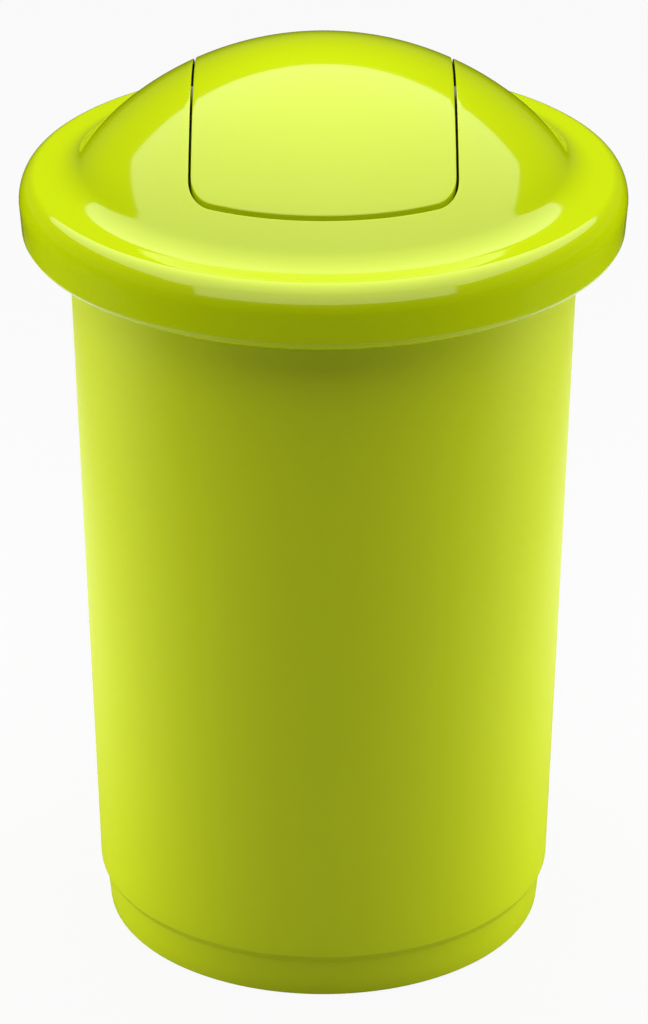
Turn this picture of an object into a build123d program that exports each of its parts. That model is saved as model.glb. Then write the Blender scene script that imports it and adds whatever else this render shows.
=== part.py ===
"""Recycling bin with a swing flap, 50 litre class, in millimetres.

A tapered round bucket stands on a recessed foot band. A domed lid with a deep rolled brim
drops over its rim. A flap cut out of the dome swings both ways on two pivots under the
dome, and two ballast slugs below the pivots bring it back to closed.

The origin is on the ground at the centre of the foot. +Z is up, and the front faces -Y.
"""
from build123d import *
import math
import os

# Bucket
bin_height = 550.3         # ground to the top of the rim
bin_top_radius = 173.2     # outside of the wall, just under the rim bead
bin_wall = 2.5
body_start_radius = 159.0  # outside of the wall where it starts, above the step
foot_radius = 152.5        # outside of the foot at the ground
foot_band_height = 28.3    # recessed band round the foot
foot_band_draft = 2.9      # how much wider the band is at its top than at the ground
step_rise = 5.9            # height of the slope between the band and the wall
foot_ring_width = 5.5
foot_edge_radius = 2.0
floor_lift = 6.0           # ground to the underside of the floor
floor_thickness = 3.0
floor_fillet = 8.0         # inside corner between floor and wall
rim_bead_depth = 8.0
rim_bead_proud = 2.6
rim_edge_radius = 1.0
floor_rib_count = 8
floor_rib_width = 2.2
floor_rib_gap = 1.5        # ribs stop this far above the ground
floor_hub_radius = 24.0

# Lid
lid_wall = 2.5
lip_clearance = 0.7        # between the lip and the rim bead as the lid is lifted
brim_overhang = 28.5       # lip out to the lid's widest radius
curl_drop = 12.0           # foot of the skirt down to the lip
skirt_drop = 19.0          # widest radius down to the foot of the skirt
skirt_draft = 1.4          # how far the skirt leans in over that height
shoulder_drop = 18.0       # brim's flat to its widest radius, measured down
shoulder_width = 11.7      # brim's flat to its widest radius, measured along the radius
brim_flat = 10.7           # width of the flat between the shoulder and the hollow curve
brim_fillet = 25.0         # hollow curve between the brim and the dome
dome_rise = 84.8           # crown of the dome above the flat of the brim
seat_depth = 1.0           # ring under the brim that rests on the rim
seat_inset = 0.6           # inside edge of the rim to the inside of the seat ring
spigot_clearance = 1.8     # between the locating ring and the inside of the bucket
spigot_wall = 2.2
spigot_depth = 11.0        # how far the locating ring reaches into the bucket
spigot_rib_count = 24
spigot_rib_width = 1.8     # small ribs that centre the lid
spigot_rib_clearance = 0.6 # between those ribs and the inside of the bucket

# Opening in the dome, and the flap in it
opening_half_width = 88.1
opening_border = 14.5       # edge of the dome to the opening's ends, arcs round the bin's own axis
opening_corner = 29.0
side_gap = 1.6
end_gap = 2.6
flap_wall = 2.5
flap_skirt_depth = 5.0      # stiffening edge under the two ends and the four corners
flap_skirt_wall = 2.0
flap_rib_width = 1.8
flap_rib_spacing = 58.0
flap_rib_count = 4

# Pivots
pivot_headroom = 1.75       # dome's underside to the top of the lock washer
cheek_inset = 1.0           # flap's straight edge to the outer face of its cheek
cheek_thickness = 3.0
cheek_radius = 24.0         # cheek's disc round the pivot
pin_radius = 3.0
pin_head_radius = 5.5
pin_head_thickness = 3.0
pin_tail = 2.6              # pin beyond the lock washer
pin_chamfer = 0.6
pin_head_round = 1.0
pin_clearance = 0.06        # radial, pin in bush
bush_wall = 2.0
bush_flange_radius = 7.0
cheek_to_bush_gap = 0.5
bracket_inset = 0.9         # opening's straight edge to the bracket's inner face
bracket_thickness = 4.0
bracket_half_width = 14.0
bracket_foot_radius = 6.0
gusset_width = 2.0
gusset_reach = 11.0
washer_radius = 6.0
washer_thickness = 1.0
washer_gap = 0.3
bush_stand_out = 0.3        # bush's end beyond the bracket's outer face

# Stops: a peg on each bracket in an arc slot in each cheek
swing_limit = 70.0          # degrees each way
stop_radius = 16.0          # pivot to peg
peg_radius = 2.5
peg_clearance = 0.5
peg_end_gap = 0.5           # peg's end to the cheek's inner face

# Ballast
ballast_drop = 38.0         # pivot to the slug's centre
slug_radius = 15.0
slug_thickness = 7.0
slug_chamfer = 0.5
slug_clearance = 0.2
cup_wall = 2.8
cap_thickness = 1.6
cap_chamfer = 0.8
cap_plug_depth = 2.0
cap_plug_clearance = 0.1

overcut = 1.0               # how far a cutting tool runs past what it cuts

# Heights and radii that follow from them
brim_top = bin_height + seat_depth + lid_wall
bead_radius = bin_top_radius + rim_bead_proud
lip_radius = bead_radius + lip_clearance
brim_radius = lip_radius + brim_overhang
crest_radius = brim_radius - shoulder_width
widest_height = brim_top - shoulder_drop
skirt_radius = brim_radius - skirt_draft
skirt_foot = widest_height - skirt_drop
lip_height = skirt_foot - curl_drop

hollow_radius = crest_radius - brim_flat    # centre of the hollow curve's section
hollow_height = brim_top + brim_fillet
dome_radius = (hollow_radius**2 + dome_rise**2) / (2 * dome_rise) - brim_fillet
dome_edge = hollow_radius * dome_radius / (dome_radius + brim_fillet)
crown = brim_top + dome_rise
dome_centre = crown - dome_radius

opening_end_radius = dome_edge - opening_border
flap_half_width = opening_half_width - side_gap
flap_end_radius = opening_end_radius - end_gap
flap_corner = opening_corner - side_gap
flap_inner_radius = dome_radius - flap_wall

cheek_outer = flap_half_width - cheek_inset
cheek_inner = cheek_outer - cheek_thickness
bracket_inner = opening_half_width + bracket_inset
bracket_outer = bracket_inner + bracket_thickness
bush_end = bracket_outer + bush_stand_out
bush_start = cheek_outer + cheek_to_bush_gap
bush_radius = pin_radius + pin_clearance + bush_wall
washer_start = bush_end + washer_gap
washer_end = washer_start + washer_thickness
cup_radius = slug_radius + slug_clearance
slug_inner = cheek_inner - slug_thickness
cup_end = slug_inner - cap_plug_depth

washer_headroom = math.sqrt((dome_radius - lid_wall) ** 2 - washer_end**2) - washer_radius
pivot_height = dome_centre + washer_headroom - pivot_headroom
ballast_height = pivot_height - ballast_drop


def turned(*edges):
    """Solid of revolution about Z from edges drawn as radius and height."""
    return revolve(make_face(Plane.XZ * Curve(edges)), Axis.Z)


def tube(outer, inner, low, high):
    """Upright ring round the bin's axis."""
    ring = Circle(outer) - Circle(inner)
    return Pos(0, 0, low) * extrude(ring, high - low)


def across(sketch, start, end, height):
    """Extrudes a sketch drawn as depth and height along X, from start to end, at a height."""
    plane = Plane((start, 0, height), x_dir=(0, 1, 0), z_dir=(1, 0, 0))
    return extrude(plane * sketch, end - start)


def side_disc(radius, start, end, height):
    return across(Circle(radius), start, end, height)


def ball(radius):
    return Pos(0, 0, dome_centre) * Sphere(radius)


def outline_prism(half_width, end_radius, corner, low, high):
    """Upright prism of the opening's plan: a disc cut by two straight sides, with round corners."""
    plan = Circle(end_radius) & Rectangle(2 * half_width, 3 * end_radius)
    plan = fillet(plan.vertices(), corner)
    return Pos(0, 0, low) * extrude(plan, high - low)


def mirrored(right_hand):
    return mirror(right_hand, Plane.YZ)


# Bucket

def bin_body():
    band_radius = foot_radius + foot_band_draft
    step_top = foot_band_height + step_rise
    floor_top = floor_lift + floor_thickness
    foot_inside = foot_radius - foot_ring_width
    bead_low = bin_height - rim_bead_depth
    inside_top = bin_top_radius - bin_wall
    outer = Polyline(
        (foot_radius, foot_edge_radius),
        (band_radius, foot_band_height),
        (body_start_radius, step_top),
        (bin_top_radius, bead_low - rim_bead_proud),
        (bead_radius, bead_low),
        (bead_radius, bin_height - rim_edge_radius),
    )
    rim_edge = RadiusArc(
        (bead_radius, bin_height - rim_edge_radius),
        (bead_radius - rim_edge_radius, bin_height),
        -rim_edge_radius,
    )
    inner = Polyline(
        (bead_radius - rim_edge_radius, bin_height),
        (inside_top, bin_height),
        (body_start_radius - bin_wall, step_top),
        (band_radius - bin_wall, foot_band_height),
        (foot_radius - bin_wall, floor_top + floor_fillet),
    )
    floor_corner = RadiusArc(
        (foot_radius - bin_wall, floor_top + floor_fillet),
        (foot_radius - bin_wall - floor_fillet, floor_top),
        floor_fillet,
    )
    under = Polyline(
        (foot_radius - bin_wall - floor_fillet, floor_top),
        (0, floor_top),
        (0, floor_lift),
        (foot_inside - floor_lift / 2, floor_lift),
        (foot_inside, 0),
        (foot_radius - foot_edge_radius, 0),
    )
    foot_edge = RadiusArc(
        (foot_radius - foot_edge_radius, 0),
        (foot_radius, foot_edge_radius),
        -foot_edge_radius,
    )
    bucket = turned(outer, rim_edge, inner, floor_corner, under, foot_edge)
    return bucket + floor_ribs(foot_inside)


def floor_ribs(foot_inside):
    """Hub ring and spokes under the floor, clear of the ground."""
    hub = tube(floor_hub_radius, floor_hub_radius - floor_rib_width, floor_rib_gap, floor_lift)
    rib_length = foot_inside - floor_hub_radius + floor_rib_width / 2
    rib_middle = floor_hub_radius - floor_rib_width / 2 + rib_length / 2
    rib_height = floor_lift - floor_rib_gap
    rib = Pos(rib_middle, 0, floor_rib_gap + rib_height / 2) * Box(rib_length, floor_rib_width, rib_height)
    ribs = hub
    for k in range(floor_rib_count):
        ribs += Rot(0, 0, (k + 0.5) * 360 / floor_rib_count) * rib
    return ribs


# Lid

def lid_skin():
    """Dome, hollow fillet, flat brim, round shoulder, skirt and the curl back in to the lip, one wall thick."""
    lean = math.degrees(math.atan2(hollow_radius, hollow_height - dome_centre))

    def side(inset):
        dome = CenterArc((0, dome_centre), dome_radius - inset, 90, -lean)
        hollow = CenterArc((hollow_radius, hollow_height), brim_fillet + inset, 270 - lean, lean)
        flat = Line((hollow_radius, brim_top - inset), (crest_radius, brim_top - inset))
        shoulder = EllipticalCenterArc(
            (crest_radius, widest_height), shoulder_width - inset, shoulder_drop - inset, 90, arc_size=-90
        )
        skirt = Line((brim_radius - inset, widest_height), (skirt_radius - inset, skirt_foot))
        curl = EllipticalCenterArc(
            (lip_radius, skirt_foot), skirt_radius - lip_radius - inset, curl_drop - inset, 0, arc_size=-90
        )
        return [dome, hollow, flat, shoulder, skirt, curl]

    lip = Line((lip_radius, lip_height), (lip_radius, lip_height + lid_wall))
    axis = Line((0, crown), (0, crown - lid_wall))
    return turned(*side(0), lip, *side(lid_wall), axis)


def lid_rings():
    """Seat ring that rests on the rim, and the locating ring inside it with its small ribs."""
    rim_inside = bin_top_radius - bin_wall
    spigot_outer = rim_inside - spigot_clearance
    spigot_inner = spigot_outer - spigot_wall
    spigot_low = bin_height - spigot_depth
    seat = tube(bead_radius - rim_edge_radius, rim_inside + seat_inset, bin_height, hollow_height)
    rings = seat + tube(spigot_outer, spigot_inner, spigot_low, hollow_height)
    rib_ring = tube(rim_inside - spigot_rib_clearance, spigot_inner, spigot_low + spigot_clearance, brim_top)
    for k in range(spigot_rib_count):
        bar = Pos(rim_inside, 0, bin_height) * Box(4 * spigot_clearance, spigot_rib_width, 3 * spigot_depth)
        rings += rib_ring & (Rot(0, 0, k * 360 / spigot_rib_count) * bar)
    hollow = Pos(0, 0, hollow_height) * Torus(hollow_radius, brim_fillet + lid_wall / 2)
    return rings - hollow


def bracket(start, end):
    """Right-hand bearing bracket under the dome: plate, gussets and the stop peg, without its bore."""
    foot = stop_radius + bracket_foot_radius
    plate = Pos(0, (dome_rise - foot) / 2) * Rectangle(2 * bracket_half_width, dome_rise + foot)
    plate = fillet(plate.vertices().group_by(Axis.Y)[0], bracket_foot_radius)
    body = across(plate, start, end, pivot_height)
    gusset_low = pivot_height - stop_radius
    gusset_root = end - bracket_thickness / 2
    gusset = Polyline(
        (end, gusset_low),
        (end + gusset_reach, pivot_height),
        (end + gusset_reach, crown),
        (gusset_root, crown),
        (gusset_root, gusset_low),
        close=True,
    )
    for side in (-1, 1):
        place = side * (bracket_half_width - gusset_width / 2) + gusset_width / 2
        body += Pos(0, place, 0) * extrude(make_face(Plane.XZ * gusset), gusset_width)
    body = body & ball(dome_radius - lid_wall / 2)
    peg = side_disc(peg_radius, cheek_inner + peg_end_gap, start, pivot_height - stop_radius)
    return body + peg


def lid_dome():
    opening_top = crown + overcut
    opening = outline_prism(opening_half_width, opening_end_radius, opening_corner, brim_top, opening_top)
    lid = lid_skin() - opening + lid_rings()
    right = bracket(bracket_inner, bracket_outer)
    right -= side_disc(bush_radius, bracket_inner - overcut, bracket_outer + overcut, pivot_height)
    return lid + right + mirrored(right)


# Flap

def flap_outline(inset, low, high):
    return outline_prism(
        flap_half_width - inset, flap_end_radius - inset, flap_corner - inset, low, high
    )


def flap_skin():
    shell = ball(dome_radius) - ball(flap_inner_radius)
    return shell & flap_outline(0, brim_top, crown + overcut)


def flap_stiffeners():
    """Edge skirts under both ends and the corners, and cross ribs, all one depth below the skin."""
    layer = ball(flap_inner_radius + flap_wall / 2) - ball(flap_inner_radius - flap_skirt_depth)
    outside = flap_outline(0, brim_top - shoulder_drop, crown)
    inside = flap_outline(flap_skirt_wall, brim_top - shoulder_drop, crown)
    corner_start = math.sqrt(flap_end_radius**2 - flap_half_width**2) - flap_corner / 2
    middle = Pos(0, 0, crown) * Box(3 * flap_half_width, 2 * corner_start, 4 * dome_rise)
    solid = (outside - inside) - middle
    first = -(flap_rib_count - 1) * flap_rib_spacing / 2
    for k in range(flap_rib_count):
        place = Pos(0, first + k * flap_rib_spacing, crown)
        rib = place * Box(2 * cheek_inner, flap_rib_width, 4 * dome_rise)
        solid += rib & outside
    return solid & layer


def cheek():
    """Right-hand cheek: pivot disc, stop slot, and the cup for the ballast slug."""
    web = Pos(0, dome_rise / 2) * Rectangle(2 * cheek_radius, dome_rise)
    neck = Pos(0, -ballast_drop / 2) * Rectangle(2 * (cup_radius + cup_wall), ballast_drop)
    cup_plan = Pos(0, -ballast_drop) * Circle(cup_radius + cup_wall)
    slot = SlotArc(
        CenterArc((0, 0), stop_radius, -90 - swing_limit, 2 * swing_limit), 2 * (peg_radius + peg_clearance)
    )
    plate = Circle(cheek_radius) + web + neck + cup_plan - slot - Circle(pin_radius)
    body = across(plate, cheek_inner, cheek_outer, pivot_height) & ball(flap_inner_radius + flap_wall / 2)
    cup = Circle(cup_radius + cup_wall) - Circle(cup_radius)
    return body + across(cup, cup_end, cheek_inner, ballast_height)


def swing_flap():
    right = cheek()
    return flap_skin() + flap_stiffeners() + right + mirrored(right)


# Small right-hand pieces of the pivots

def pivot_bush():
    sleeve = side_disc(bush_radius, bracket_inner, bush_end, pivot_height)
    flange = side_disc(bush_flange_radius, bush_start, bracket_inner, pivot_height)
    bore = side_disc(pin_radius + pin_clearance, bush_start - overcut, bush_end + overcut, pivot_height)
    return sleeve + flange - bore


def pivot_pin():
    shank = side_disc(pin_radius, cheek_inner, washer_end + pin_tail, pivot_height)
    shank = chamfer(shank.edges().filter_by(GeomType.CIRCLE).sort_by(Axis.X)[-1], pin_chamfer)
    head = side_disc(pin_head_radius, cheek_inner - pin_head_thickness, cheek_inner, pivot_height)
    head = fillet(head.edges().filter_by(GeomType.CIRCLE).sort_by(Axis.X)[0], pin_head_round)
    return shank + head


def lock_washer():
    ring = side_disc(washer_radius, washer_start, washer_end, pivot_height)
    return ring - side_disc(pin_radius, washer_start - overcut, washer_end + overcut, pivot_height)


def ballast_slug():
    slug = side_disc(slug_radius, slug_inner, cheek_inner, ballast_height)
    return chamfer(slug.edges().filter_by(GeomType.CIRCLE), slug_chamfer)


def ballast_cap():
    plug = side_disc(cup_radius - cap_plug_clearance, cup_end, slug_inner, ballast_height)
    flange = side_disc(cup_radius + cup_wall, cup_end - cap_thickness, cup_end, ballast_height)
    flange = chamfer(flange.edges().filter_by(GeomType.CIRCLE).sort_by(Axis.X)[0], cap_chamfer)
    return plug + flange


parts = {"bin_body": bin_body(), "lid_dome": lid_dome(), "swing_flap": swing_flap()}
for name, make in {
    "pivot_bush": pivot_bush,
    "pivot_pin": pivot_pin,
    "lock_washer": lock_washer,
    "ballast_slug": ballast_slug,
    "ballast_cap": ballast_cap,
}.items():
    right_hand = make()
    parts[name + "_right"] = right_hand
    parts[name + "_left"] = mirrored(right_hand)

os.makedirs("parts", exist_ok=True)
for name, shape in parts.items():
    export_step(shape, f"parts/{name}.step")
print("pivot height", round(pivot_height, 3), "crown", round(crown, 3), "lip height", round(lip_height, 3))
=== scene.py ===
"""Recycling bin with a swing flap: surfaces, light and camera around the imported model."""
import math
import bpy
import bmesh
from mathutils import Matrix, Vector


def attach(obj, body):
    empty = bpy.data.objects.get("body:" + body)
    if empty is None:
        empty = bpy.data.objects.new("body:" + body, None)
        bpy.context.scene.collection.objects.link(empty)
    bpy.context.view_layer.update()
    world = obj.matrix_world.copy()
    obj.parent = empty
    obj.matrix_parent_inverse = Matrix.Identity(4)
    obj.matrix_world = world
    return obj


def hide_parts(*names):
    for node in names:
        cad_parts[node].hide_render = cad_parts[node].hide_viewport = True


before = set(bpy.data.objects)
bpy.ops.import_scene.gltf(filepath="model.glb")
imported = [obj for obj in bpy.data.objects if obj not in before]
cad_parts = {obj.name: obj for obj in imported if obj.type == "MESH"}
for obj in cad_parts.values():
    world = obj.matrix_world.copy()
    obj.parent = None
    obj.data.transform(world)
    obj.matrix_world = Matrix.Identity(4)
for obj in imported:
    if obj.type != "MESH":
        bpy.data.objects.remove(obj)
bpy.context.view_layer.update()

MM = 0.001
AROUND = 480               # points round the bin's axis
HUB_AROUND = 120           # points round the hub under the floor
SMALL_AROUND = 64          # points round a small turned piece

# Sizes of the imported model, in millimetres
BIN_HEIGHT = 550.3
BIN_TOP_RADIUS = 173.2
BIN_WALL = 2.5
BODY_START_RADIUS = 159.0
FOOT_RADIUS = 152.5
FOOT_BAND_HEIGHT = 28.3
FOOT_BAND_DRAFT = 2.9
STEP_RISE = 5.9
FOOT_RING_WIDTH = 5.5
FLOOR_LIFT = 6.0
FLOOR_THICKNESS = 3.0
FLOOR_FILLET = 8.0
RIM_BEAD_DEPTH = 8.0
RIM_BEAD_PROUD = 2.6
FLOOR_RIB_COUNT = 8
FLOOR_RIB_WIDTH = 2.2
FLOOR_RIB_GAP = 1.5
FLOOR_HUB_RADIUS = 24.0
BAND_ROUND_INSIDE = 1.5
STEP_ROUND_INSIDE = 3.0
RIM_ROUND_INSIDE = 0.6
RIM_ROUND = 1.0
BEAD_ROUND = 0.8
BEAD_ROOT_ROUND = 1.0
STEP_ROUND = 3.5
BAND_ROUND = 3.0
FOOT_ROUND = 2.0
FOOT_ROUND_INSIDE = 0.8
FLOOR_ROUND_BELOW = 1.0

LID_WALL = 2.5
LIP_CLEARANCE = 0.7
BRIM_OVERHANG = 28.5
CURL_DROP = 12.0
SKIRT_DROP = 19.0
SKIRT_DRAFT = 1.4
SHOULDER_DROP = 18.0
SHOULDER_WIDTH = 11.7
BRIM_FLAT = 10.7
BRIM_FILLET = 25.0
DOME_RISE = 84.8
CURL_END = -87             # the curl ends here, in degrees, where the lip's own round begins
SEAT_DEPTH = 1.0
SEAT_INSET = 0.6
SEAT_SETBACK = 1.0         # outer side of the seat ring, in from the rim bead's
SPIGOT_CLEARANCE = 1.8
SPIGOT_WALL = 2.2
SPIGOT_DEPTH = 11.0
SPIGOT_RIB_COUNT = 24
SPIGOT_RIB_WIDTH = 1.8
SPIGOT_RIB_CLEARANCE = 0.6
RING_EDGE = 0.3            # edges of the seat ring
RING_ROOT = 0.4            # corners between the rings
RING_BLEND = (0.6, 0.3)    # slant where a ring meets the lid's underside: across and down
RING_BLEND_ROUND = 0.2
RING_SPACE = 1.2           # the lid's own points keep this far from a ring

OPENING_HALF_WIDTH = 88.1
OPENING_BORDER = 14.5
OPENING_CORNER = 29.0
SIDE_GAP = 1.6
END_GAP = 2.6
FLAP_WALL = 2.5
FLAP_SKIRT_DEPTH = 5.0
FLAP_SKIRT_WALL = 2.0
FLAP_RIB_WIDTH = 1.8
FLAP_RIB_SPACING = 58.0
FLAP_RIB_COUNT = 4
FLAP_RIB_OVERLAP = 0.8     # how far the ribs run into the skin
FLAP_SKIRT_ROOT = 0.2      # slant at the skirt's root
FLAP_INNER_SHARE = 0.98    # first inner ring, as a share of the way out to the skirt's root

PIVOT_HEADROOM = 1.75
CHEEK_INSET = 1.0
CHEEK_THICKNESS = 3.0
CHEEK_RADIUS = 24.0
CHEEK_TOP = 1.0            # cheek's top, below the flap's outer skin
PIN_RADIUS = 3.0
BUSH_RADIUS = 5.06
BRACKET_INSET = 0.9
BRACKET_THICKNESS = 4.0
BRACKET_HALF_WIDTH = 14.0
BRACKET_FOOT_RADIUS = 6.0
GUSSET_WIDTH = 2.0
GUSSET_REACH = 11.0
GUSSET_EDGE = 0.2
WASHER_RADIUS = 6.0
WASHER_END = 94.6
SWING_LIMIT = 70.0
STOP_RADIUS = 16.0
PEG_RADIUS = 2.5
PEG_CLEARANCE = 0.5
PEG_END_GAP = 0.5
BALLAST_DROP = 38.0
CUP_INNER = 15.2
CUP_OUTER = 18.0
CUP_DEPTH = 9.0

BRIM_TOP = BIN_HEIGHT + SEAT_DEPTH + LID_WALL
BEAD_RADIUS = BIN_TOP_RADIUS + RIM_BEAD_PROUD
LIP_RADIUS = BEAD_RADIUS + LIP_CLEARANCE
BRIM_RADIUS = LIP_RADIUS + BRIM_OVERHANG
CREST_RADIUS = BRIM_RADIUS - SHOULDER_WIDTH
WIDEST_HEIGHT = BRIM_TOP - SHOULDER_DROP
SKIRT_RADIUS = BRIM_RADIUS - SKIRT_DRAFT
SKIRT_FOOT = WIDEST_HEIGHT - SKIRT_DROP
HOLLOW_RADIUS = CREST_RADIUS - BRIM_FLAT
HOLLOW_HEIGHT = BRIM_TOP + BRIM_FILLET
DOME_RADIUS = (HOLLOW_RADIUS**2 + DOME_RISE**2) / (2 * DOME_RISE) - BRIM_FILLET
DOME_EDGE = HOLLOW_RADIUS * DOME_RADIUS / (DOME_RADIUS + BRIM_FILLET)
DOME_CENTRE = BRIM_TOP + DOME_RISE - DOME_RADIUS
DOME_INSIDE = DOME_RADIUS - LID_WALL
OPENING_END = DOME_EDGE - OPENING_BORDER
PIVOT_HEIGHT = (
    DOME_CENTRE + math.sqrt(DOME_INSIDE**2 - WASHER_END**2) - WASHER_RADIUS - PIVOT_HEADROOM
)
CHEEK_OUTER = OPENING_HALF_WIDTH - SIDE_GAP - CHEEK_INSET
CHEEK_INNER = CHEEK_OUTER - CHEEK_THICKNESS
BRACKET_INNER = OPENING_HALF_WIDTH + BRACKET_INSET
BRACKET_OUTER = BRACKET_INNER + BRACKET_THICKNESS

# Edges, overlaps and the fineness of the meshes
EDGE = 0.5                 # moulded edges are this much rounded
EDGE_STEPS = 4
SMALL_EDGE = 0.3           # edges of brackets, cheeks, cups and pegs
RIB_EDGE = 0.4
RIB_EDGE_STEPS = 2
OVERLAP = 1.0              # how far a rib, peg or cup runs into what it stands on
AXIS_GAP = 0.4             # radius of the bucket's innermost rings, which caps close
SHARP_ANGLE = 40           # corners sharper than this stay hard in the shading, in degrees
BUCKET_RUN = 14.0          # longest run down the bucket's profile
LID_RUN = 6.0              # longest run across the brim's flat and down the skirt
DOME_RINGS = 18
DOME_RINGS_INSIDE = 12
BRIM_STEPS = 12            # steps of the hollow curve; the shoulder and the curl have twice as many
BRIM_STEPS_INSIDE = 7
LIP_STEPS = 8
FLAP_RINGS = 34
FLAP_RINGS_INSIDE = 30
FLAP_RIB_STEPS = 40
BRACKET_TOP_STEPS = 6      # steps from the middle of the top to its end
CHEEK_TOP_STEPS = 8
CORNER_STEPS = 10
CUP_STEPS = 32
SLOT_STEPS = 40
WELD = 1e-4                # points of a plate nearer than this are one point


# Mesh helpers

def add_mesh(name, vertices, faces):
    """Object from points in millimetres, with outward faces, smooth but for real corners."""
    mesh = bpy.data.meshes.new(name)
    mesh.from_pydata([tuple(c * MM for c in v) for v in vertices], [], faces)
    bm = bmesh.new()
    bm.from_mesh(mesh)
    bmesh.ops.recalc_face_normals(bm, faces=bm.faces)
    bm.to_mesh(mesh)
    bm.free()
    for face in mesh.polygons:
        face.use_smooth = True
    mesh.set_sharp_from_angle(angle=math.radians(SHARP_ANGLE))
    obj = bpy.data.objects.new(name, mesh)
    bpy.context.scene.collection.objects.link(obj)
    return obj


def ring_surface(rings, closed=False, caps=False):
    """Points and faces of a skin over rings of equal length: closed in a loop, or capped at both ends."""
    count = len(rings[0])
    vertices = [p for ring in rings for p in ring]
    faces = []
    last = len(rings) if closed else len(rings) - 1
    for k in range(last):
        a = k * count
        b = ((k + 1) % len(rings)) * count
        for i in range(count):
            j = (i + 1) % count
            faces.append((a + i, a + j, b + j, b + i))
    if caps:
        for ring, start in ((rings[0], 0), (rings[-1], (len(rings) - 1) * count)):
            middle = len(vertices)
            vertices.append(tuple(sum(p[c] for p in ring) / count for c in range(3)))
            for i in range(count):
                faces.append((start + i, start + (i + 1) % count, middle))
    return vertices, faces


def ring_of(r, z, around=AROUND):
    """Level ring about the axis."""
    turns = [2 * math.pi * i / around for i in range(around)]
    return [(r * math.cos(t), r * math.sin(t), z) for t in turns]


def lathe(profile, around=AROUND, closed=False, caps=False):
    """Surface of revolution about Z from (radius, height) points."""
    rings = [ring_of(r, z, around) for r, z in profile]
    return ring_surface(rings, closed, caps)


def arc(centre, radius_x, radius_y, start, end, steps):
    """Points of an elliptical arc, angles in degrees."""
    angles = [math.radians(start + (end - start) * k / steps) for k in range(steps + 1)]
    return [(centre[0] + radius_x * math.cos(a), centre[1] + radius_y * math.sin(a)) for a in angles]


def rounded(points, radius):
    """Open polyline with each corner between its ends rounded. A point may give its own radius third."""
    result = [points[0][:2]]
    for before, corner, after in zip(points, points[1:], points[2:]):
        size = corner[2] if len(corner) > 2 else radius
        here = Vector(corner[:2])
        back = Vector(before[:2]) - here
        ahead = Vector(after[:2]) - here
        angle = back.angle(ahead)
        reach = size / math.tan(angle / 2)
        first = here + back.normalized() * reach
        last = here + ahead.normalized() * reach
        inward = (back.normalized() + ahead.normalized()).normalized()
        middle = here + inward * size / math.sin(angle / 2)
        begin = first - middle
        turn = begin.angle_signed(last - middle)
        for k in range(EDGE_STEPS + 1):
            spun = begin.copy()
            spun.rotate(Matrix.Rotation(-turn * k / EDGE_STEPS, 2))
            result.append(tuple(middle + spun))
    result.append(points[-1][:2])
    return result


def spread(points, step):
    """Same polyline with extra points, so that no run is longer than step."""
    result = [points[0]]
    for a, b in zip(points, points[1:]):
        parts = max(1, math.ceil(math.dist(a, b) / step))
        for k in range(1, parts + 1):
            result.append(tuple(a[c] + (b[c] - a[c]) * k / parts for c in range(len(a))))
    return result


def outline_distance(turn, half_width, end, corner):
    """Distance from the axis, in one direction, to an outline of straight sides, round ends and corners."""
    cos_t = abs(math.cos(turn))
    sin_t = abs(math.sin(turn))
    centre_x = half_width - corner
    centre_y = math.sqrt((end - corner) ** 2 - centre_x**2)
    if sin_t * half_width <= centre_y * cos_t:
        return half_width / cos_t
    if sin_t * centre_x >= centre_y * cos_t:
        return end
    along = centre_x * cos_t + centre_y * sin_t
    return along + math.sqrt(along**2 - centre_x**2 - centre_y**2 + corner**2)


def opening_radius(turn, grow):
    """Distance from the axis to the opening's outline, grown by some millimetres."""
    return outline_distance(
        turn, OPENING_HALF_WIDTH + grow, OPENING_END + grow, OPENING_CORNER + grow
    )


def flap_radius(turn, inset):
    """Distance from the axis to the flap's own outline, drawn in by some millimetres."""
    return outline_distance(
        turn,
        OPENING_HALF_WIDTH - SIDE_GAP - inset,
        OPENING_END - END_GAP - inset,
        OPENING_CORNER - SIDE_GAP - inset,
    )


def on_sphere(radius, x, y):
    """Height of a ball round the dome's centre above a point."""
    return DOME_CENTRE + math.sqrt(radius**2 - x**2 - y**2)


def turn_points(radius_of, ball):
    """Ring on a ball round the dome's centre. radius_of(turn) is its distance from the axis.

    The ball's radius is a number, or a function of the turn.
    """
    ring = []
    for i in range(AROUND):
        turn = 2 * math.pi * i / AROUND
        r = radius_of(turn)
        x = r * math.cos(turn)
        y = r * math.sin(turn)
        size = ball(turn) if callable(ball) else ball
        ring.append((x, y, on_sphere(size, x, y)))
    return ring


def join(name, pieces):
    """One object of several closed skins."""
    vertices = []
    faces = []
    for part_vertices, part_faces in pieces:
        base = len(vertices)
        vertices += part_vertices
        faces += [tuple(base + i for i in face) for face in part_faces]
    return add_mesh(name, vertices, faces)


def bar(section, path):
    """Closed skin of a convex section, given as (across, up) points, along a path.

    Each step of the path is an origin and its two directions, across and up.
    """
    rings = []
    for origin, across, up in path:
        rings.append([tuple(Vector(origin) + Vector(across) * a + Vector(up) * b) for a, b in section])
    return ring_surface(rings, caps=True)


def box_section(width, low, high, edge):
    """Rectangle with rounded corners, as (across, up) points."""
    side = width / 2 - edge
    points = []
    for centre, start in (
        ((side, high - edge), 0),
        ((-side, high - edge), 90),
        ((-side, low + edge), 180),
        ((side, low + edge), 270),
    ):
        points += arc(centre, edge, edge, start, start + 90, RIB_EDGE_STEPS)
    return points


# Bucket

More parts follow.
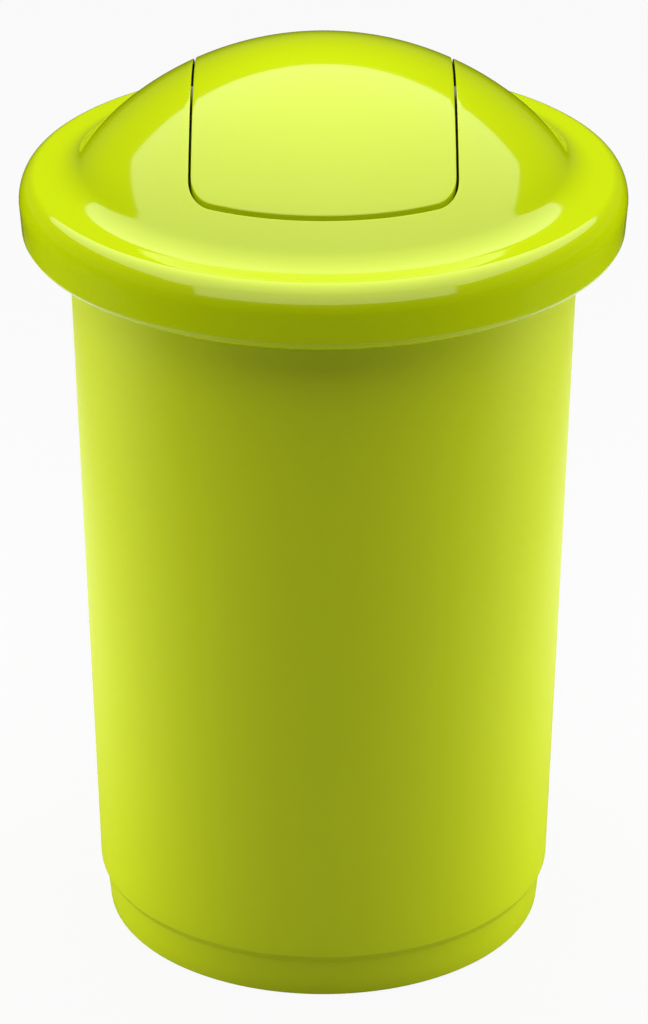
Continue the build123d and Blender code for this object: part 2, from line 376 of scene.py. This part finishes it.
def bucket():
    """Bucket as one turned skin, with the hub and the ribs under its floor."""
    step_top = FOOT_BAND_HEIGHT + STEP_RISE
    band_radius = FOOT_RADIUS + FOOT_BAND_DRAFT
    floor_top = FLOOR_LIFT + FLOOR_THICKNESS
    bead_low = BIN_HEIGHT - RIM_BEAD_DEPTH
    inside_top = BIN_TOP_RADIUS - BIN_WALL
    foot_inside = FOOT_RADIUS - FOOT_RING_WIDTH
    outline = [
        (0, floor_top, 0),
        (FOOT_RADIUS - BIN_WALL, floor_top, FLOOR_FILLET),
        (band_radius - BIN_WALL, FOOT_BAND_HEIGHT, BAND_ROUND_INSIDE),
        (BODY_START_RADIUS - BIN_WALL, step_top, STEP_ROUND_INSIDE),
        (inside_top, BIN_HEIGHT, RIM_ROUND_INSIDE),
        (BEAD_RADIUS, BIN_HEIGHT, RIM_ROUND),
        (BEAD_RADIUS, bead_low, BEAD_ROUND),
        (BIN_TOP_RADIUS, bead_low - RIM_BEAD_PROUD, BEAD_ROOT_ROUND),
        (BODY_START_RADIUS, step_top, STEP_ROUND),
        (band_radius, FOOT_BAND_HEIGHT, BAND_ROUND),
        (FOOT_RADIUS, 0, FOOT_ROUND),
        (foot_inside, 0, FOOT_ROUND_INSIDE),
        (foot_inside - FLOOR_LIFT / 2, FLOOR_LIFT, FLOOR_ROUND_BELOW),
        (0, FLOOR_LIFT, 0),
    ]
    profile = spread(rounded(outline, EDGE), BUCKET_RUN)
    profile[0] = (AXIS_GAP, floor_top)
    profile[-1] = (AXIS_GAP, FLOOR_LIFT)
    pieces = [lathe(profile, caps=True)]
    hub = rounded([
        (FLOOR_HUB_RADIUS, FLOOR_LIFT + OVERLAP),
        (FLOOR_HUB_RADIUS, FLOOR_RIB_GAP),
        (FLOOR_HUB_RADIUS - FLOOR_RIB_WIDTH, FLOOR_RIB_GAP),
        (FLOOR_HUB_RADIUS - FLOOR_RIB_WIDTH, FLOOR_LIFT + OVERLAP),
    ], EDGE)
    pieces.append(lathe(hub, around=HUB_AROUND, closed=True))
    section = box_section(FLOOR_RIB_WIDTH, FLOOR_RIB_GAP, FLOOR_LIFT + OVERLAP, EDGE)
    for k in range(FLOOR_RIB_COUNT):
        turn = math.radians((k + 0.5) * 360 / FLOOR_RIB_COUNT)
        out = Vector((math.cos(turn), math.sin(turn), 0))
        side = (-out.y, out.x, 0)
        ends = (FLOOR_HUB_RADIUS - FLOOR_RIB_WIDTH / 2, foot_inside - FLOOR_LIFT / 4)
        pieces.append(bar(section, [(tuple(out * e), side, (0, 0, 1)) for e in ends]))
    return join("bucket", pieces)


# Lid

def lid():
    """Lid as one closed skin through the opening, with its rings, ribs and bearing brackets."""
    rings = []

    def opening_ring(grow, ball):
        rings.append(turn_points(lambda turn: opening_radius(turn, grow), ball))

    def dome_rings(edge, ball, steps, inward):
        """Rings between the opening and the dome's edge."""
        for k in range(1, steps):
            t = k / steps
            t = 1 - t if inward else t
            rings.append(turn_points(lambda turn: (1 - t) * opening_radius(turn, EDGE) + t * edge, ball))

    # Opening's wall, from its lower edge to its upper edge
    for k in range(EDGE_STEPS + 1):
        a = math.radians(90 * k / EDGE_STEPS)
        opening_ring(EDGE * (1 - math.sin(a)), DOME_INSIDE + EDGE * (1 - math.cos(a)))
    for k in range(EDGE_STEPS + 1):
        a = math.radians(90 * k / EDGE_STEPS)
        opening_ring(EDGE * (1 - math.cos(a)), DOME_RADIUS - EDGE * (1 - math.sin(a)))
    dome_rings(DOME_EDGE, DOME_RADIUS, DOME_RINGS, False)

    # Outer side, from the dome's edge out and down to the lip, then the inner side back
    lean = math.degrees(math.atan2(HOLLOW_RADIUS, HOLLOW_HEIGHT - DOME_CENTRE))

    def side(inset, steps):
        """Hollow curve, flat, shoulder, skirt and curl, drawn in by the wall or not."""
        ball = DOME_RADIUS - inset
        edge = HOLLOW_RADIUS * ball / (BRIM_FILLET + DOME_RADIUS)
        hollow = BRIM_FILLET + inset
        shoulder = (SHOULDER_WIDTH - inset, SHOULDER_DROP - inset)
        curl = (SKIRT_RADIUS - LIP_RADIUS - inset, CURL_DROP - inset)
        points = [(edge, DOME_CENTRE + math.sqrt(ball**2 - edge**2))]
        points += arc((HOLLOW_RADIUS, HOLLOW_HEIGHT), hollow, hollow, 270 - lean, 270, steps)[1:]
        points += spread([points[-1], (CREST_RADIUS, BRIM_TOP - inset)], LID_RUN)[1:]
        points += arc((CREST_RADIUS, WIDEST_HEIGHT), *shoulder, 90, 0, 2 * steps)[1:]
        points += spread([points[-1], (SKIRT_RADIUS - inset, SKIRT_FOOT)], LID_RUN)[1:]
        points += arc((LIP_RADIUS, SKIRT_FOOT), *curl, 0, CURL_END, 2 * steps)[1:]
        return points

    outer = side(0, BRIM_STEPS)
    inner = side(LID_WALL, BRIM_STEPS_INSIDE)
    lip_middle = (LIP_RADIUS + LID_WALL / 2, SKIRT_FOOT - CURL_DROP + LID_WALL / 2)
    lip = arc(lip_middle, LID_WALL / 2, LID_WALL / 2, 270, 90, LIP_STEPS)
    seat_outer = BEAD_RADIUS - SEAT_SETBACK
    rim_inside = BIN_TOP_RADIUS - BIN_WALL
    seat_inner = rim_inside + SEAT_INSET
    spigot_outer = rim_inside - SPIGOT_CLEARANCE
    spigot_inner = spigot_outer - SPIGOT_WALL
    spigot_low = BIN_HEIGHT - SPIGOT_DEPTH

    blend_width, blend_drop = RING_BLEND

    def under(r):
        """Height of the hollow's underside at a distance from the axis."""
        inside = BRIM_FILLET + LID_WALL
        return HOLLOW_HEIGHT - math.sqrt(inside**2 - (HOLLOW_RADIUS - r) ** 2)

    rings_profile = rounded([
        (seat_outer + blend_width, under(seat_outer + blend_width)),
        (seat_outer, under(seat_outer) - blend_drop, RING_BLEND_ROUND),
        (seat_outer, BIN_HEIGHT, RING_EDGE),
        (seat_inner, BIN_HEIGHT, RING_EDGE),
        (seat_inner, under(seat_inner), RING_ROOT),
        (spigot_outer, under(spigot_outer), RING_ROOT),
        (spigot_outer, spigot_low, EDGE),
        (spigot_inner, spigot_low, EDGE),
        (spigot_inner, under(spigot_inner) - blend_drop, RING_BLEND_ROUND),
        (spigot_inner - blend_width, under(spigot_inner - blend_width)),
    ], RING_EDGE)
    back = list(reversed(inner))
    before = [p for p in back if p[0] > seat_outer + RING_SPACE]
    after = [p for p in back if p[0] < spigot_inner - RING_SPACE]
    for r, z in outer + lip + before + rings_profile + after:
        rings.append(ring_of(r, z))
    dome_rings(after[-1][0], DOME_INSIDE, DOME_RINGS_INSIDE, True)
    pieces = [ring_surface(rings, closed=True)]

    # Small ribs that centre the lid in the bucket
    rib_high = under(spigot_outer) + EDGE
    section = box_section(SPIGOT_RIB_WIDTH, spigot_low + SPIGOT_CLEARANCE, rib_high, RIB_EDGE)
    for k in range(SPIGOT_RIB_COUNT):
        turn = 2 * math.pi * k / SPIGOT_RIB_COUNT
        out = Vector((math.cos(turn), math.sin(turn), 0))
        side_way = (-out.y, out.x, 0)
        ends = (spigot_outer - SPIGOT_WALL / 2, rim_inside - SPIGOT_RIB_CLEARANCE)
        pieces.append(bar(section, [(tuple(out * e), side_way, (0, 0, 1)) for e in ends]))
    for side_sign in (-1, 1):
        pieces += bracket(side_sign)
    return join("lid", pieces)


def plate(outline, holes, start, end, edge):
    """Closed plate across X from start to end: an outline of (depth, height) points with holes."""
    curve = bpy.data.curves.new("outline", "CURVE")
    curve.dimensions = "2D"
    curve.fill_mode = "BOTH"
    curve.extrude = (end - start) / 2 - edge
    curve.bevel_depth = edge
    curve.bevel_resolution = 1
    curve.offset = -edge
    for loop in (outline, *holes):
        spline = curve.splines.new("POLY")
        spline.points.add(len(loop) - 1)
        for point, (u, v) in zip(spline.points, loop):
            point.co = (u, v, 0, 1)
        spline.use_cyclic_u = True
    holder = bpy.data.objects.new("outline", curve)
    mesh = bpy.data.meshes.new_from_object(holder)
    bm = bmesh.new()
    bm.from_mesh(mesh)
    bmesh.ops.remove_doubles(bm, verts=bm.verts, dist=WELD)
    middle = (start + end) / 2
    vertices = [(middle + v.co.z, v.co.x, v.co.y) for v in bm.verts]
    faces = [tuple(v.index for v in f.verts) for f in bm.faces]
    bm.free()
    bpy.data.objects.remove(holder)
    bpy.data.curves.remove(curve)
    bpy.data.meshes.remove(mesh)
    return vertices, faces


def on_side(skin, side_sign):
    """Skin on the right as it is, or mirrored to the left."""
    vertices, faces = skin
    return [(side_sign * x, y, z) for x, y, z in vertices], faces


def side_lathe(profile, height, **ends):
    """Turned skin about an axis along X at a height, from (radius, x) points."""
    vertices, faces = lathe(profile, around=SMALL_AROUND, **ends)
    return [(z, x, y + height) for x, y, z in vertices], faces


def top_edge(half, steps, skin, x):
    """Top of a plate, from one end to the other, on a ball round the dome's centre."""
    depths = [half - k * half / steps for k in range(2 * steps + 1)]
    return [(y, on_sphere(skin, x, y)) for y in depths]


def bracket(side_sign):
    """Bearing bracket under the dome, with its gussets and stop peg."""
    foot = PIVOT_HEIGHT - STOP_RADIUS - BRACKET_FOOT_RADIUS
    half = BRACKET_HALF_WIDTH
    round_off = BRACKET_FOOT_RADIUS
    skin = DOME_RADIUS - LID_WALL / 2
    outline = top_edge(half, BRACKET_TOP_STEPS, skin, BRACKET_OUTER)
    for centre, start in ((round_off - half, 180), (half - round_off, 270)):
        outline += arc((centre, foot + round_off), round_off, round_off, start, start + 90, CORNER_STEPS)
    bore = arc((0, PIVOT_HEIGHT), BUSH_RADIUS, BUSH_RADIUS, 0, 360, SMALL_AROUND)[:-1]
    pieces = [plate(outline, [bore], BRACKET_INNER, BRACKET_OUTER, SMALL_EDGE)]
    low = PIVOT_HEIGHT - STOP_RADIUS
    reach = BRACKET_OUTER + GUSSET_REACH
    root = BRACKET_OUTER - BRACKET_THICKNESS / 2
    gusset = [(root, low), (BRACKET_OUTER, low), (reach, PIVOT_HEIGHT)]
    for way in (-1, 1):
        y = way * (half - GUSSET_WIDTH / 2)
        shape = gusset + [(reach, on_sphere(skin, reach, y)), (root, on_sphere(skin, root, y))]
        vertices, faces = plate(shape, [], y - GUSSET_WIDTH / 2, y + GUSSET_WIDTH / 2, GUSSET_EDGE)
        pieces.append(([(b, a, c) for a, b, c in vertices], faces))
    peg_start = CHEEK_INNER + PEG_END_GAP
    peg_end = BRACKET_INNER + OVERLAP
    peg = rounded([
        (0, peg_start),
        (PEG_RADIUS, peg_start, EDGE),
        (PEG_RADIUS, peg_end, SMALL_EDGE),
        (0, peg_end),
    ], SMALL_EDGE)
    pieces.append(side_lathe(peg[1:-1], low, caps=True))
    return [on_side(p, side_sign) for p in pieces]


# Flap

def flap():
    """Flap as one closed skin on the dome's own ball, with its edge skirts, cross ribs and cheeks."""
    inside = DOME_RADIUS - FLAP_WALL
    flap_half = OPENING_HALF_WIDTH - SIDE_GAP
    flap_end = OPENING_END - END_GAP
    skirt_start = math.sqrt(flap_end**2 - flap_half**2) - (OPENING_CORNER - SIDE_GAP) / 2
    rings = []

    def skirt(turn):
        """Skirt's depth: it runs along the two ends only."""
        y = abs(flap_radius(turn, 0) * math.sin(turn))
        return FLAP_SKIRT_DEPTH if y > skirt_start else 0.0

    def outline_ring(inset, ball):
        rings.append(turn_points(lambda turn: flap_radius(turn, inset), ball))

    for k in range(1, FLAP_RINGS + 1):
        t = k / FLAP_RINGS
        rings.append(turn_points(lambda turn: t * flap_radius(turn, EDGE), DOME_RADIUS))
    for k in range(1, EDGE_STEPS + 1):
        a = math.radians(90 * k / EDGE_STEPS)
        outline_ring(EDGE * (1 - math.sin(a)), DOME_RADIUS - EDGE * (1 - math.cos(a)))
    for k in range(EDGE_STEPS + 1):
        a = math.radians(90 * k / EDGE_STEPS)
        drop = EDGE * (1 - math.sin(a))
        outline_ring(EDGE * (1 - math.cos(a)), lambda turn: inside - skirt(turn) + drop)
    wall = FLAP_SKIRT_WALL
    root = wall + FLAP_SKIRT_ROOT
    outline_ring(wall - EDGE, lambda turn: inside - skirt(turn))
    outline_ring(wall, lambda turn: inside - skirt(turn) + (EDGE if skirt(turn) else 0))
    outline_ring(root, inside)
    for k in range(FLAP_RINGS_INSIDE, 0, -1):
        t = k / FLAP_RINGS_INSIDE * FLAP_INNER_SHARE
        rings.append(turn_points(lambda turn: t * flap_radius(turn, root), inside))
    pieces = [ring_surface(rings, caps=True)]

    # Cross ribs under the skin
    first = -(FLAP_RIB_COUNT - 1) * FLAP_RIB_SPACING / 2
    section = box_section(FLAP_RIB_WIDTH, -FLAP_SKIRT_DEPTH, FLAP_RIB_OVERLAP, RIB_EDGE)
    for k in range(FLAP_RIB_COUNT):
        y = first + k * FLAP_RIB_SPACING
        path = []
        for i in range(FLAP_RIB_STEPS + 1):
            x = (2 * i / FLAP_RIB_STEPS - 1) * CHEEK_INNER
            path.append(((x, y, on_sphere(inside, x, y)), (0, 1, 0), (0, 0, 1)))
        pieces.append(bar(section, path))
    for side_sign in (-1, 1):
        pieces += cheek(side_sign)
    return join("flap", pieces)


def cheek(side_sign):
    """Cheek with its pivot bore, stop slot and ballast cup."""
    cup_height = PIVOT_HEIGHT - BALLAST_DROP
    half = CHEEK_RADIUS
    pivot = (0, PIVOT_HEIGHT)
    join_angle = math.degrees(math.acos(CUP_OUTER / CHEEK_RADIUS))
    outline = top_edge(half, CHEEK_TOP_STEPS, DOME_RADIUS - CHEEK_TOP, CHEEK_OUTER)
    outline += arc(pivot, half, half, 180, 180 + join_angle, CORNER_STEPS)
    outline += arc((0, cup_height), CUP_OUTER, CUP_OUTER, 180, 360, CUP_STEPS)
    outline += arc(pivot, half, half, 360 - join_angle, 360, CORNER_STEPS)
    slot_half = PEG_RADIUS + PEG_CLEARANCE
    outer = STOP_RADIUS + slot_half
    inner = STOP_RADIUS - slot_half
    low = -90 - SWING_LIMIT
    high = -90 + SWING_LIMIT
    slot = arc(pivot, outer, outer, low, high, SLOT_STEPS)
    for at, start in ((high, high), (low, low + 180)):
        turn = math.radians(at)
        end = (STOP_RADIUS * math.cos(turn), PIVOT_HEIGHT + STOP_RADIUS * math.sin(turn))
        slot += arc(end, slot_half, slot_half, start, start + 180, CORNER_STEPS)[1:-1]
        if at == high:
            slot += arc(pivot, inner, inner, high, low, SLOT_STEPS)
    bore = arc(pivot, PIN_RADIUS, PIN_RADIUS, 0, 360, SMALL_AROUND)[:-1]
    pieces = [plate(outline, [slot, bore], CHEEK_INNER, CHEEK_OUTER, SMALL_EDGE)]
    cup_root = CHEEK_INNER + OVERLAP
    cup_end = CHEEK_INNER - CUP_DEPTH
    cup = rounded([
        (CUP_OUTER, cup_root),
        (CUP_OUTER, cup_end),
        (CUP_INNER, cup_end),
        (CUP_INNER, cup_root),
    ], SMALL_EDGE)
    pieces.append(side_lathe(cup, cup_height, closed=True))
    return [on_side(p, side_sign) for p in pieces]


# Materials

def material(name, colour, roughness, **settings):
    """Principled material with its nodes to build on. Settings are socket names with underscores."""
    mat = bpy.data.materials.new(name)
    mat.use_nodes = True
    shader = mat.node_tree.nodes["Principled BSDF"]
    shader.inputs["Base Color"].default_value = (*colour, 1)
    shader.inputs["Roughness"].default_value = roughness
    for key, value in settings.items():
        shader.inputs[key.replace("_", " ")].default_value = value
    return mat, mat.node_tree.nodes, mat.node_tree.links, shader


def noise(nodes, links, scale, detail, stretch=(1, 1, 1)):
    """Noise texture in the object's own coordinates, in cycles a metre."""
    place = nodes.new("ShaderNodeTexCoord")
    mapping = nodes.new("ShaderNodeMapping")
    mapping.inputs["Scale"].default_value = stretch
    texture = nodes.new("ShaderNodeTexNoise")
    texture.inputs["Scale"].default_value = scale
    texture.inputs["Detail"].default_value = detail
    links.new(place.outputs["Object"], mapping.inputs["Vector"])
    links.new(mapping.outputs["Vector"], texture.inputs["Vector"])
    return texture


def vary_roughness(nodes, links, shader, texture, low, high):
    """Roughness that follows a texture, from low to high."""
    node = nodes.new("ShaderNodeMapRange")
    node.inputs["To Min"].default_value = low
    node.inputs["To Max"].default_value = high
    links.new(texture.outputs["Fac"], node.inputs["Value"])
    links.new(node.outputs["Result"], shader.inputs["Roughness"])


def add_bump(nodes, links, shader, texture, strength, distance):
    """Bump that follows a texture. Its distance is in metres."""
    bump = nodes.new("ShaderNodeBump")
    bump.inputs["Strength"].default_value = strength
    bump.inputs["Distance"].default_value = distance
    links.new(texture.outputs["Fac"], bump.inputs["Height"])
    links.new(bump.outputs["Normal"], shader.inputs["Normal"])


def colour_drift(nodes, links, shader, texture, colour, drift):
    """Base colour that wanders a little about the named one, by a share of it."""
    mix = nodes.new("ShaderNodeMix")
    mix.data_type = "RGBA"
    mix.inputs["A"].default_value = (*(c * (1 - drift) for c in colour), 1)
    mix.inputs["B"].default_value = (*(c * (1 + drift) for c in colour), 1)
    links.new(texture.outputs["Fac"], mix.inputs["Factor"])
    links.new(mix.outputs["Result"], shader.inputs["Base Color"])


LID_LIME = (0.57, 0.715, 0.002)
BIN_LIME = (0.59, 0.70, 0.002)
COLOUR_DRIFT = 0.025


def gloss_lime():
    """Glossy moulded lime of lid and flap: faint ripples and fine scuffs."""
    mat, nodes, links, shader = material("gloss_lime", LID_LIME, roughness=0.07, IOR=1.6)
    cloud = noise(nodes, links, scale=9.0, detail=3.0)
    colour_drift(nodes, links, shader, cloud, LID_LIME, COLOUR_DRIFT)
    ripple = noise(nodes, links, scale=14.0, detail=1.0)
    add_bump(nodes, links, shader, ripple, strength=0.25, distance=0.0004)
    scuffs = noise(nodes, links, scale=900.0, detail=4.0)
    vary_roughness(nodes, links, shader, scuffs, low=0.05, high=0.10)
    return mat


def satin_lime():
    """Satin moulded lime of the bucket: a fine grain."""
    mat, nodes, links, shader = material(
        "satin_lime", BIN_LIME, roughness=0.38, IOR=1.49, Specular_IOR_Level=0.25
    )
    cloud = noise(nodes, links, scale=6.0, detail=3.0)
    colour_drift(nodes, links, shader, cloud, BIN_LIME, COLOUR_DRIFT)
    grain = noise(nodes, links, scale=1600.0, detail=2.0)
    add_bump(nodes, links, shader, grain, strength=0.12, distance=0.0001)
    vary_roughness(nodes, links, shader, grain, low=0.34, high=0.44)
    return mat


def metal(name, colour, roughness):
    """Turned metal, with fine marks drawn out across the piece's axis."""
    mat, nodes, links, shader = material(name, colour, roughness, Metallic=1.0)
    turning = noise(nodes, links, scale=2500.0, detail=2.0, stretch=(1, 0.1, 0.1))
    add_bump(nodes, links, shader, turning, strength=0.2, distance=0.00005)
    vary_roughness(nodes, links, shader, turning, low=roughness * 0.8, high=roughness * 1.3)
    return mat


def plastic(name, colour, roughness):
    """Moulded plastic of a small piece, with a fine grain."""
    mat, nodes, links, shader = material(name, colour, roughness)
    grain = noise(nodes, links, scale=1200.0, detail=3.0)
    add_bump(nodes, links, shader, grain, strength=0.15, distance=0.0001)
    vary_roughness(nodes, links, shader, grain, low=roughness * 0.85, high=roughness * 1.2)
    return mat


# Pieces

lime_gloss = gloss_lime()
lime_satin = satin_lime()

bucket_piece = bucket()
bucket_piece.data.materials.append(lime_satin)
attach(bucket_piece, "bin")
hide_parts("bin_body")

lid_piece = lid()
lid_piece.data.materials.append(lime_gloss)
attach(lid_piece, "lid")
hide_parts("lid_dome")

flap_piece = flap()
flap_piece.data.materials.append(lime_gloss)
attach(flap_piece, "flap")
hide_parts("swing_flap")

small_materials = {
    "pivot_bush": plastic("white_acetal", (0.86, 0.86, 0.82), roughness=0.32),
    "pivot_pin": metal("bright_steel", (0.62, 0.62, 0.63), roughness=0.28),
    "lock_washer": metal("washer_steel", (0.55, 0.55, 0.56), roughness=0.35),
    "ballast_slug": metal("plain_iron", (0.28, 0.27, 0.26), roughness=0.5),
    "ballast_cap": plastic("dark_cap", (0.02, 0.024, 0.01), roughness=0.45),
}
for kind, mat in small_materials.items():
    for side_name in ("left", "right"):
        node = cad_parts[f"{kind}_{side_name}"]
        node.data.materials.clear()
        node.data.materials.append(mat)


# Studio

def smooth_step(nodes, links, source, low, high, at_low, at_high):
    """Maps a value smoothly from one level to another between two places."""
    node = nodes.new("ShaderNodeMapRange")
    node.interpolation_type = "SMOOTHSTEP"
    node.inputs["From Min"].default_value = low
    node.inputs["From Max"].default_value = high
    node.inputs["To Min"].default_value = at_low
    node.inputs["To Max"].default_value = at_high
    links.new(source, node.inputs["Value"])
    return node.outputs["Result"]


def mirror_rays(nodes, links, rays):
    """1 for a reflected or refracted ray."""
    glossy = rays.outputs["Is Glossy Ray"]
    return combine(nodes, links, "MAXIMUM", glossy, rays.outputs["Is Transmission Ray"])


def combine(nodes, links, operation, a, b):
    """Two values through one math node. The second may be a plain number."""
    node = nodes.new("ShaderNodeMath")
    node.operation = operation
    links.new(a, node.inputs[0])
    if isinstance(b, (int, float)):
        node.inputs[1].default_value = b
    else:
        links.new(b, node.inputs[1])
    return node.outputs[0]


# What reflections see of the floor is a painted glow standing in for a lit table. It has painted shade near
# the bin and towards the dark front of the studio. Distances are in metres.
TABLE_SHADE = (0.05, 0.75)      # it brightens between these distances from the bin's axis: painted shade near the bin
TABLE_REACH = (1.00, 1.25)      # and fades out between these
TABLE_FRONT = (-0.75, -0.10)    # it brightens from front to back between these places
TABLE_SIDE = (0.45, 0.80)       # and fades to the left and right between these
TABLE_DARK = 0.02               # the level that each fade ends at
FLOOR_GREY = (0.45, 0.45, 0.45)
FLOOR_ROUGHNESS = 0.9
FLOOR_SHADE = 0.08              # how much of the floor's own light and shadow shows
FLOOR_HALF = 8.0


def floor_material():
    """White floor that keeps the bin's shadow. Reflections see a painted glow of a lit table in a darker
    studio, with painted shade near the bin.
    """
    mat, nodes, links, shader = material("studio_floor", FLOOR_GREY, FLOOR_ROUGHNESS)
    rays = nodes.new("ShaderNodeLightPath")
    place = nodes.new("ShaderNodeTexCoord")
    split = nodes.new("ShaderNodeSeparateXYZ")
    links.new(place.outputs["Object"], split.inputs[0])
    length = nodes.new("ShaderNodeVectorMath")
    length.operation = "LENGTH"
    links.new(place.outputs["Object"], length.inputs[0])
    distance = length.outputs["Value"]
    shade = smooth_step(nodes, links, distance, *TABLE_SHADE, TABLE_DARK, 1.0)
    reach = smooth_step(nodes, links, distance, *TABLE_REACH, 1.0, TABLE_DARK)
    front = smooth_step(nodes, links, split.outputs["Y"], *TABLE_FRONT, TABLE_DARK, 1.0)
    aside = nodes.new("ShaderNodeMath")
    aside.operation = "ABSOLUTE"
    links.new(split.outputs["X"], aside.inputs[0])
    side = smooth_step(nodes, links, aside.outputs[0], *TABLE_SIDE, 1.0, TABLE_DARK)
    # Painted glow and painted shade: how brightly the floor shines for reflected rays, though it is no lamp
    table = reach
    for factor in (front, shade, side):
        table = combine(nodes, links, "MULTIPLY", table, factor)
    mirrored = mirror_rays(nodes, links, rays)
    strength = combine(nodes, links, "MAXIMUM", rays.outputs["Is Camera Ray"], table)
    glow = nodes.new("ShaderNodeEmission")
    links.new(strength, glow.inputs["Strength"])
    seen = combine(nodes, links, "MULTIPLY", rays.outputs["Is Camera Ray"], 1 - FLOOR_SHADE)
    amount = combine(nodes, links, "MAXIMUM", seen, mirrored)
    both = nodes.new("ShaderNodeMixShader")
    links.new(amount, both.inputs["Fac"])
    links.new(shader.outputs[0], both.inputs[1])
    links.new(glow.outputs[0], both.inputs[2])
    links.new(both.outputs[0], nodes["Material Output"].inputs["Surface"])
    mat.cycles.emission_sampling = "NONE"
    return mat


floor_mesh = bpy.data.meshes.new("studio_floor")
floor_corners = [(x * FLOOR_HALF, y * FLOOR_HALF, 0) for x, y in ((-1, -1), (1, -1), (1, 1), (-1, 1))]
floor_mesh.from_pydata(floor_corners, [], [(0, 1, 2, 3)])
floor = bpy.data.objects.new("studio_floor", floor_mesh)
floor_mesh.materials.append(floor_material())
bpy.context.scene.collection.objects.link(floor)

WHITE = (1, 1, 1, 1)
AMBIENT = 0.14                  # plain light from all round
HORIZON = 0.05                  # what reflections see low in the room
CEILING = 0.03                  # and higher up, round the softbox
ROOM_RISE = (0.05, 0.25)        # from one to the other, as the sine of the angle above the horizon


def studio_world():
    """White behind everything for the camera, soft ambient light, and a darker room in reflections."""
    world = bpy.data.worlds.new("studio")
    bpy.context.scene.world = world
    world.use_nodes = True
    nodes = world.node_tree.nodes
    links = world.node_tree.links
    ambient = nodes["Background"]
    ambient.inputs["Color"].default_value = WHITE
    ambient.inputs["Strength"].default_value = AMBIENT
    rays = nodes.new("ShaderNodeLightPath")
    place = nodes.new("ShaderNodeTexCoord")
    split = nodes.new("ShaderNodeSeparateXYZ")
    links.new(place.outputs["Generated"], split.inputs[0])
    room = smooth_step(nodes, links, split.outputs["Z"], *ROOM_RISE, HORIZON, CEILING)
    strength = combine(nodes, links, "MAXIMUM", rays.outputs["Is Camera Ray"], room)
    white = nodes.new("ShaderNodeBackground")
    white.inputs["Color"].default_value = WHITE
    links.new(strength, white.inputs["Strength"])
    mirrored = mirror_rays(nodes, links, rays)
    seen = combine(nodes, links, "MAXIMUM", rays.outputs["Is Camera Ray"], mirrored)
    choice = nodes.new("ShaderNodeMixShader")
    links.new(seen, choice.inputs["Fac"])
    links.new(ambient.outputs[0], choice.inputs[1])
    links.new(white.outputs[0], choice.inputs[2])
    links.new(choice.outputs[0], nodes["World Output"].inputs["Surface"])


studio_world()


# Lamps: sizes and places in metres, powers in watts
SOFTBOX_SIZE = (4.3, 3.35)
SOFTBOX_PLACE = (0.05, 0.175, 1.85)
SOFTBOX_AIM = (0.05, 0.175, 0)
SOFTBOX_POWER = 71.0
SOFTBOX_SPREAD = 165.0
STRIP_SIZE = (0.92, 0.32)
STRIP_OUT = 0.85
STRIP_BACK = 0.20
STRIP_HEIGHT = 0.17
STRIP_POWER = 6.4
CARD_SIZE = (4.3, 1.3)
CARD_PLACE = (0.05, -1.95, 1.45)
CARD_AIM = (0.05, 0, 1.0)
CARD_POWER = 26.0


def panel(name, size, place, power, look_at, spread=180.0, in_reflections=True):
    """Rectangular softbox at a place, aimed at a point. Its spread is in degrees."""
    light = bpy.data.lights.new(name, "AREA")
    light.shape = "RECTANGLE"
    light.size, light.size_y = size
    light.energy = power
    light.spread = math.radians(spread)
    obj = bpy.data.objects.new(name, light)
    obj.location = place
    obj.rotation_euler = (Vector(look_at) - Vector(place)).to_track_quat("-Z", "Y").to_euler()
    obj.visible_glossy = in_reflections
    bpy.context.scene.collection.objects.link(obj)
    return obj


panel("overhead_softbox", SOFTBOX_SIZE, SOFTBOX_PLACE, SOFTBOX_POWER, SOFTBOX_AIM, spread=SOFTBOX_SPREAD)
for way, name in ((-1, "left_strip"), (1, "right_strip")):
    strip_place = (way * STRIP_OUT, STRIP_BACK, STRIP_HEIGHT)
    panel(name, STRIP_SIZE, strip_place, STRIP_POWER, (0, 0, STRIP_HEIGHT), in_reflections=False)

# The front card shows in the gloss only
front_card = panel("front_card", CARD_SIZE, CARD_PLACE, CARD_POWER, CARD_AIM)
front_card.visible_diffuse = False

# Camera at the photograph's place: metres, degrees, and millimetres for sensor and lens
CAMERA_DISTANCE = 3.5
CAMERA_ELEVATION = 25.83
CAMERA_X = 0.0003
AIM_HEIGHT = 0.2979
SENSOR_WIDTH = 36.0
LENS = 177.3
camera_data = bpy.data.cameras.new("photo_camera")
camera = bpy.data.objects.new("photo_camera", camera_data)
tilt = math.radians(CAMERA_ELEVATION)
camera_height = AIM_HEIGHT + CAMERA_DISTANCE * math.sin(tilt)
camera.location = (CAMERA_X, -CAMERA_DISTANCE * math.cos(tilt), camera_height)
camera.rotation_euler = (math.radians(90 - CAMERA_ELEVATION), 0, 0)
camera_data.sensor_width = SENSOR_WIDTH
camera_data.lens = LENS
bpy.context.scene.collection.objects.link(camera)
bpy.context.scene.camera = camera
bpy.context.scene.view_settings.view_transform = "Standard"
